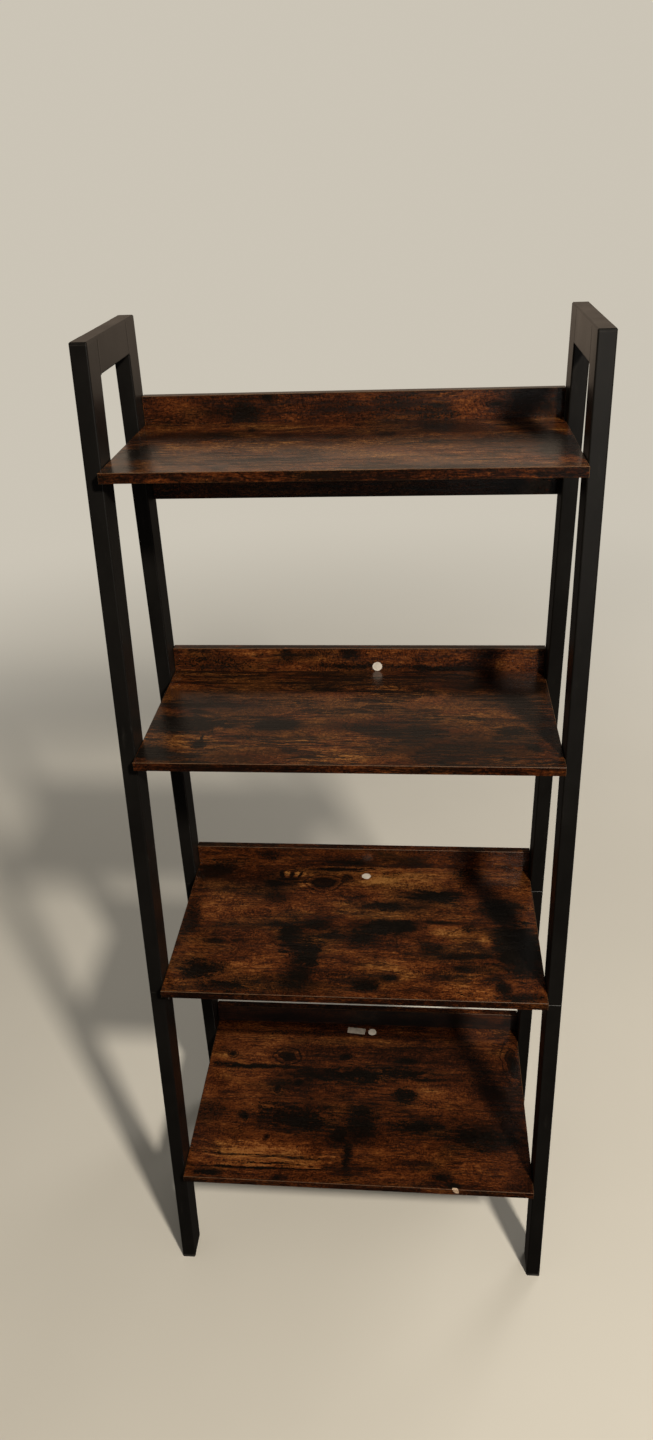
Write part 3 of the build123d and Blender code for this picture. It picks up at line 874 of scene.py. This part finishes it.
def weldAll():
    rng = random.Random(weldLook["seed"])
    vertices, faces = [], []
    front, back, up, down = [Vector(way) for way in ((0, -1, 0), (0, 1, 0), (0, 0, 1), (0, 0, -1))]
    inset, edge, sink = [weldLook[key] * mm for key in ("inset", "edge", "sink")]
    tabReach, railReach, proud = [weldLook[key] for key in ("tabReach", "railReach", "jointProud")]

    def lay(start, end, *ways, make=weldBead):
        points, skin = make(rng, Vector(start), Vector(end), *ways)
        first = len(vertices)
        vertices.extend(points)
        faces.extend([[first + k for k in face] for face in skin])

    for side, way in sides.items():
        inward = Vector((-way, 0, 0))
        for level in levels:
            for end in ("front", "back"):
                low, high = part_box(f"{level}_{side}_{end}_shelf_tab")
                x = high.x if way > 0 else low.x
                lay((x, low.y + inset, low.z), (x, high.y - inset, low.z), down, inward, tabReach)
            low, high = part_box(f"{level}_{side}_backboard_tab")
            x = high.x if way > 0 else low.x
            lay((x, low.y, low.z + inset), (x, low.y, high.z - inset), front, inward, tabReach)
        low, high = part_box(f"{side}_top_rail")
        lean = Vector((0, 1, -weldLook["lean"])).normalized()
        lay((low.x + edge, low.y, low.z), (high.x - edge, low.y, low.z), lean, down, railReach)
        lay((low.x + edge, high.y, low.z), (high.x - edge, high.y, low.z), front, down, railReach)
        # the joints between rail and posts, on both faces and across the top
        slope = weldLook["lean"] * (high.z - low.z)
        for y, shift, across in ((low.y, slope, lean), (high.y, 0.0, back)):
            for x, out in ((low.x, -1), (high.x, 1)):
                skin = x - out * sink if out == way else x
                lay((skin, y, low.z), (skin, y + shift, high.z - edge), across, Vector((out, 0, 0)), proud,
                    make=jointBead)
            lay((low.x + edge, y + shift, high.z - sink), (high.x - edge, y + shift, high.z - sink), back, up,
                proud, make=jointBead)
    newPiece("weld_beads", vertices, faces, coatMaterial)


weldAll()
print("welds laid")

# Bare paper dots and one bare paper label. Colours are (pale, shaded), rings are shares, sizes are in
# millimetres, and the depth of the fibre is in metres
paperLook = {
    "dot": ((0.56, 0.50, 0.43), (0.45, 0.40, 0.335)), "label": ((0.36, 0.31, 0.255), (0.24, 0.205, 0.165)),
    "thickness": 0.16, "seat": 0.02, "lift": 0.35, "liftFrom": 0.55, "rings": [0.35, 0.7, 0.9, 1.0],
    "dotPoints": 40, "ior": 1.4, "roughness": 0.6, "roughSpread": 0.3, "fibre": 0.3, "fibreDepth": 0.00006,
}
dots = {
    "dot_upper_backboard": {"board": "upper_backboard", "x": 29.2, "t": 7.2, "radius": 6.8},
    "dot_lower_shelf": {"board": "lower_shelf", "x": 8.3, "t": 130.5, "radius": 6.9},
    "dot_bottom_shelf": {"board": "bottom_shelf", "x": 12.2, "t": 137.4, "radius": 7.0},
}
label = {"board": "bottom_shelf", "x": -15.5, "t": 139.2, "width": 31.0, "height": 13.0, "turn": -6.0,
         "corner": 1.2, "cornerSteps": 5}


def makePaperMaterial(name, pale, shade):
    material, shader, spot = newMaterial(name, IOR=paperLook["ior"])
    fibre = noise(spot, (900, 900, 900), 6.0, 0.75)
    cloud = noise(spot, (160, 160, 160), 3.0, 0.6)
    colour = mixed(fade(cloud, 0.35, 0.75), pale, shade)
    colour = mixed(times(fade(fibre, 0.55, 0.75), 0.3), colour, shade)
    painted(shader, colour, weigh(paperLook["roughness"], fibre, paperLook["roughSpread"]))
    bumped(shader, fibre, paperLook["fibre"], paperLook["fibreDepth"])
    return material


dotMaterial = makePaperMaterial("dotPaper", *paperLook["dot"])
labelMaterial = makePaperMaterial("labelPaper", *paperLook["label"])


# A board's face, as a matrix: its X runs along the board, its Y up the face and its Z out of it
def boardFace(board, x, t):
    spot = Vector(boardSpot(board, x, t))
    if board.endswith("_shelf"):
        return Matrix.Translation(spot)
    spot.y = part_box(board)[0].y
    return Matrix.Translation(spot) @ Matrix.Rotation(math.radians(90), 4, "X")


# A sheet with thickness from rings of outline points, lifted a little along one stretch of its rim
def paperSheet(name, board, x, t, outline, material, turn=0.0):
    rng = random.Random(name)
    lifted = rng.uniform(0, math.tau)
    rings, calm = paperLook["rings"], paperLook["liftFrom"]
    move = boardFace(board, x, t) @ Matrix.Rotation(math.radians(turn), 4, "Z")
    count = len(outline)
    vertices, faces = [], []
    for layer in (0, 1):
        base = paperLook["seat"] + layer * paperLook["thickness"]
        for share in rings:
            for px, py in outline:
                toRim = max(0.0, math.cos(math.atan2(py, px) - lifted) - calm) / (1 - calm)
                height = base + paperLook["lift"] * toRim ** 2 * share ** 6
                vertices.append(move @ Vector((px * share * mm, py * share * mm, height * mm)))
        vertices.append(move @ Vector((0, 0, base * mm)))
    size = count * len(rings) + 1
    rim = count * (len(rings) - 1)
    for layer in (0, 1):
        base = layer * size
        centre = base + size - 1
        for k in range(count):
            n = (k + 1) % count
            faces.append([centre, base + k, base + n])
            for ring in range(len(rings) - 1):
                a, b = base + ring * count, base + (ring + 1) * count
                faces.append([a + k, b + k, b + n, a + n])
    for k in range(count):
        n = (k + 1) % count
        faces.append([rim + k, size + rim + k, size + rim + n, rim + n])
    newPiece(name, vertices, faces, material)


def roundOutline(radius, count):
    angles = [math.tau * k / count for k in range(count)]
    return [(radius * math.cos(angle), radius * math.sin(angle)) for angle in angles]


def roundedOutline(width, height, corner, steps):
    points = []
    for sx, sy, start in ((1, 1, 0), (-1, 1, 90), (-1, -1, 180), (1, -1, 270)):
        for k in range(steps + 1):
            angle = math.radians(start + 90 * k / steps)
            points.append((sx * (width / 2 - corner) + corner * math.cos(angle),
                           sy * (height / 2 - corner) + corner * math.sin(angle)))
    return points


for name, dot in dots.items():
    outline = roundOutline(dot["radius"], paperLook["dotPoints"])
    paperSheet(name, dot["board"], dot["x"], dot["t"], outline, dotMaterial)
labelOutline = roundedOutline(label["width"], label["height"], label["corner"], label["cornerSteps"])
paperSheet("label_bottom_shelf", label["board"], label["x"], label["t"], labelOutline, labelMaterial,
           label["turn"])
print("paper dots and label stuck on")

# A chip knocked out of the bottom shelf's front edge, down to the raw board. Sizes are in millimetres, and
# the depth of the bump is in metres
chipLook = {
    "x": 147.6, "width": 8.6, "onTop": 3.6, "down": 9.5, "slant": 3.2, "ends": 0.35, "thickness": 0.12,
    "sunk": 0.9, "columns": 9, "rows": 8, "colour": (0.55, 0.39, 0.265), "flake": (0.30, 0.21, 0.125),
    "roughness": 0.7, "roughSpread": 0.25, "bump": 0.8, "bumpDepth": 0.0003, "seed": 7,
}


def makeRawMaterial():
    material, shader, spot = newMaterial("rawBoard")
    flakes = noise(spot, (420, 620, 620), 5.0, 0.75)
    colour = mixed(fade(flakes, 0.42, 0.66), chipLook["colour"], chipLook["flake"])
    painted(shader, colour, weigh(chipLook["roughness"], flakes, chipLook["roughSpread"]))
    bumped(shader, flakes, chipLook["bump"], chipLook["bumpDepth"])
    return material


def makeChip():
    rng = random.Random(chipLook["seed"])
    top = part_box("bottom_shelf")[1].z
    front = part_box("shelf_edge_bands")[0].y
    columns, rows = chipLook["columns"], chipLook["rows"]
    skin, sunk = chipLook["thickness"] * mm, chipLook["sunk"] * mm
    grid = []
    for c in range(columns + 1):
        u = c / columns
        share = chipLook["ends"] + (1 - chipLook["ends"]) * (1 - abs(2 * u - 1) ** 3)
        back = chipLook["onTop"] * share * rng.uniform(0.75, 1.05)
        drop = chipLook["down"] * share * rng.uniform(0.8, 1.0)
        x = chipLook["x"] + chipLook["width"] * (u - 0.5)
        line = []
        for r in range(rows + 1):
            s = -back + (back + drop) * r / rows
            lean = chipLook["slant"] * s / chipLook["down"]
            if s < 0:
                line.append(Vector(((x + lean) * mm, front - s * mm, top + skin)))
            else:
                line.append(Vector(((x + lean) * mm, front - skin, top - s * mm)))
        grid.append(line)
    vertices, faces = [], []
    inward = Vector((0, sunk, -sunk))
    for layer in (0, 1):
        for line in grid:
            vertices += [point + inward * layer for point in line]
    wide = rows + 1
    size = wide * (columns + 1)
    for layer in (0, 1):
        for c in range(columns):
            for r in range(rows):
                a = layer * size + c * wide + r
                faces.append([a, a + 1, a + wide + 1, a + wide])
    rim = [c * wide for c in range(columns + 1)] + [columns * wide + r for r in range(1, wide)]
    rim += [c * wide + rows for c in reversed(range(columns))] + [r for r in reversed(range(1, rows))]
    for a, b in zip(rim, rim[1:] + rim[:1]):
        faces.append([a, b, b + size, a + size])
    newPiece("chip_bottom_shelf", vertices, faces, makeRawMaterial(), smooth=False)


makeChip()
print("chip made")

# Floor, backdrop, light and camera. In reflections the backdrop fades upwards, and the viewer's side is dim
stageLook = {
    "floorColour": (0.60, 0.565, 0.495), "floorPale": 1.03, "floorReach": 9.0, "floorDrop": 0.0004,
    "floorRough": 0.9, "floorIor": 1.2, "bounceColour": (0.22, 0.18, 0.14), "backColour": (0.60, 0.555, 0.47),
    "ambientColour": (1.0, 0.965, 0.90), "ambient": 0.22, "mirrorColour": (0.46, 0.355, 0.265),
    "dimColour": (0.036, 0.030, 0.024), "highFrom": 0.42, "highTo": 0.53, "fadeFrom": 1.1, "fadeTo": 3.6,
    "dimFrom": 8.5, "dimTo": 4.6, "floorSide": 0.5, "roomSide": 0.25,
}


def seenRay(tree):
    ray = put("LightPath", {}, tree).outputs
    seen = calc("MAXIMUM", ray["Is Camera Ray"], ray["Is Glossy Ray"])
    return calc("MAXIMUM", seen, ray["Is Transmission Ray"])


def mirrorRay(tree):
    return put("LightPath", {}, tree).outputs["Is Glossy Ray"]


# The backdrop's colour, which glossy faces see going dim
def backdropTint(dim, mirrored):
    shown = mixed(dim, stageLook["mirrorColour"], stageLook["dimColour"])
    return mixed(mirrored, stageLook["backColour"], shown)


# 1 on the viewer's side, 0 behind the shelf, with a soft change between them
def viewerSide(y, reach):
    return fade(y, reach, -reach)


def makeStage():
    builder = bmesh.new()
    bmesh.ops.create_circle(builder, cap_ends=True, radius=stageLook["floorReach"], segments=96)
    floor = newObject("floor", settled(builder, bpy.data.meshes.new("floor")))
    floor.location.z = -stageLook["floorDrop"]
    material, shader, spot = newMaterial("floorPaint", Roughness=stageLook["floorRough"],
                                         IOR=stageLook["floorIor"])
    tree = material.node_tree
    cloud = noise(spot, (2, 2, 2), 4.0, 0.5)
    pale = [value * stageLook["floorPale"] for value in stageLook["floorColour"]]
    paint = mixed(fade(cloud, 0.3, 0.7), stageLook["floorColour"], pale)
    bounce = put("LightPath", {}, tree).outputs["Is Diffuse Ray"]
    tree.links.new(mixed(bounce, paint, stageLook["bounceColour"]), shader.inputs["Base Color"])
    away = lengthOf(spot)
    far = fade(away, stageLook["fadeFrom"], stageLook["fadeTo"])
    dim = calc("MAXIMUM", fade(away, stageLook["dimFrom"], stageLook["dimTo"]),
               viewerSide(split(spot)["Y"], stageLook["floorSide"]))
    mirrored = mirrorRay(tree)
    glow = put("Emission", {"Color": backdropTint(dim, mirrored), "Strength": 1.0})
    share = calc("MAXIMUM", times(far, seenRay(tree)), mirrored)
    both = put("MixShader", {0: share, 1: shader.outputs[0], 2: glow.outputs[0]})
    out = next(node for node in tree.nodes if node.type == "OUTPUT_MATERIAL")
    tree.links.new(both.outputs[0], out.inputs["Surface"])
    floor.data.materials.append(material)


def makeWorld():
    world = bpy.data.worlds.new("room")
    world.use_nodes = True
    tree = world.node_tree
    tree.nodes.clear()
    plain = {"Color": stageLook["ambientColour"], "Strength": stageLook["ambient"]}
    light = put("Background", plain, tree)
    way = split(put("TexCoord", {}, tree).outputs["Generated"])
    dim = calc("MAXIMUM", fade(way["Z"], stageLook["highFrom"], stageLook["highTo"]),
               viewerSide(way["Y"], stageLook["roomSide"]))
    back = put("Background", {"Color": backdropTint(dim, mirrorRay(tree)), "Strength": 1.0})
    both = put("MixShader", {0: seenRay(tree), 1: light.outputs[0], 2: back.outputs[0]})
    put("OutputWorld", {"Surface": both.outputs[0]})
    bpy.context.scene.world = world


lamps = {
    "keyLamp": {"spot": (1.06, -1.75, 2.59), "aim": (0.0, 0.0, 0.72), "size": 0.26, "power": 92.0,
                "colour": (1.0, 0.93, 0.82), "mirrored": True},
    "fillLamp": {"spot": (0.75, -2.4, 1.1), "aim": (0.1, 0.0, 0.9), "size": 1.1, "power": 2.6,
                 "colour": (1.0, 0.96, 0.90), "mirrored": True},
    "backLamp": {"spot": (2.0, 2.4, 1.5), "aim": (0.0, 0.1, 0.7), "size": 1.4, "power": 32.0,
                 "colour": (1.0, 0.97, 0.93), "mirrored": False},
}


def makeLamps():
    for name, lamp in lamps.items():
        light = bpy.data.lights.new(name, "AREA")
        light.shape = "DISK"
        light.size = lamp["size"]
        light.energy = lamp["power"]
        light.color = lamp["colour"]
        holder = newObject(name, light)
        holder.location = lamp["spot"]
        holder.visible_glossy = lamp["mirrored"]  # whether glossy faces show the lamp itself
        aim = Vector(lamp["aim"]) - Vector(lamp["spot"])
        holder.rotation_euler = aim.to_track_quat("-Z", "Y").to_euler()


# The camera stands where the photograph was taken: angles in degrees, focus in pixels of the frame's height
cameraLook = {"spot": (0.08464, -1.12002, 1.54005), "yaw": 5.875, "pitch": -29.5442, "roll": 2.4601,
              "focus": 1003.67, "frameHeight": 1440, "sensor": 36.0}


def makeCamera():
    data = bpy.data.cameras.new("camera")
    data.sensor_width = cameraLook["sensor"]
    data.lens = cameraLook["sensor"] * cameraLook["focus"] / cameraLook["frameHeight"]
    camera = newObject("camera", data)
    turn = Matrix.Rotation(math.radians(cameraLook["yaw"]), 4, "Z")
    turn = turn @ Matrix.Rotation(math.radians(cameraLook["pitch"]), 4, "X")
    turn = turn @ Matrix.Rotation(math.radians(cameraLook["roll"]), 4, "Y")
    upright = Matrix.Rotation(math.radians(90), 4, "X")
    camera.matrix_world = Matrix.Translation(cameraLook["spot"]) @ turn @ upright
    bpy.context.scene.camera = camera


makeStage()
makeWorld()
makeLamps()
makeCamera()
bpy.context.scene.view_settings.view_transform = "Standard"
print("stage, light and camera set")
